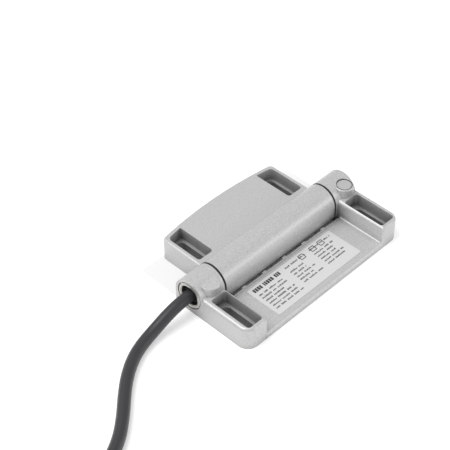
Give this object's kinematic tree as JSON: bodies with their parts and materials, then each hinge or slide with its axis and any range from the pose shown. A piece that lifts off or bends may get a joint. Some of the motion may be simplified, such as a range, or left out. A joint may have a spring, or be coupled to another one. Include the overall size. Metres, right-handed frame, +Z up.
{
  "type": "safety hinge switch",
  "caption": "Two-leaf die-cast hinge with a safety switch in its barrel, slotted screw pockets and a moulded-in cable lead.",
  "frame": {"origin": "on the mounting plane, straight below the middle of the hinge axis", "axes": "+X along the hinge axis away from the cable, -Y over the front leaf, +Z up from the mounting plane"},
  "size_m": [0.3517, 0.096, 0.0258],
  "materials": {
    "leaf_paint": "fine textured silver-grey powder coat on a zinc die casting",
    "bright_nickel": "turned brass, bright nickel plated",
    "turned_steel": "ground steel",
    "bronze": "sintered bronze",
    "seal_rubber": "black moulded rubber",
    "housing_plastic": "moulded black thermoplastic",
    "contact_metal": "stamped contact alloy",
    "plug_plastic": "moulded grey plastic",
    "label_foil": "blank satin foil label",
    "cable_jacket": "black flexible jacket",
    "core_insulation": "coloured core insulation",
    "tie_plastic": "black nylon tie"
  },
  "bodies": {
    "front": {"front_leaf": "leaf_paint", "gland_ring": "bright_nickel", "cable_seal": "seal_rubber", "left_journal": "turned_steel", "right_pin": "turned_steel", "left_gap_seal": "seal_rubber", "right_gap_seal": "seal_rubber", "switch_housing": "housing_plastic", "contact_spring": "turned_steel", "front_contact": "contact_metal", "rear_contact": "contact_metal", "contact_block": "housing_plastic", "terminal_block": "housing_plastic", "cable_cores": "core_insulation", "boss_plug": "plug_plastic", "pin_lock_screw": "turned_steel", "label_plate": "label_foil", "cable": "cable_jacket", "cable_coil": "cable_jacket", "coil_ties": "tie_plastic", "cable_tail": "cable_jacket", "tail_cores": "core_insulation"},
    "rear": {"rear_leaf": "leaf_paint", "left_bush": "bronze", "right_bush": "bronze", "cam_ring": "turned_steel"},
    "plunger": {"plunger": "housing_plastic", "contact_bridge": "contact_metal"}
  },
  "joints": [
    {"name": "leaf_hinge", "type": "hinge", "parent": "front", "child": "rear", "pos_m": [0, 0, 0.01], "axis": [1, 0, 0], "range_deg": [0, 180]},
    {"name": "plunger_travel", "type": "slide", "parent": "front", "child": "plunger", "axis": [1, 0, 0], "range_m": [-0.0031, 0], "deforming": ["contact_spring"]}
  ],
  "couplings": [
    {"joint": "plunger_travel", "follows": "leaf_hinge", "m_per_rad": -0.00095493}
  ]
}
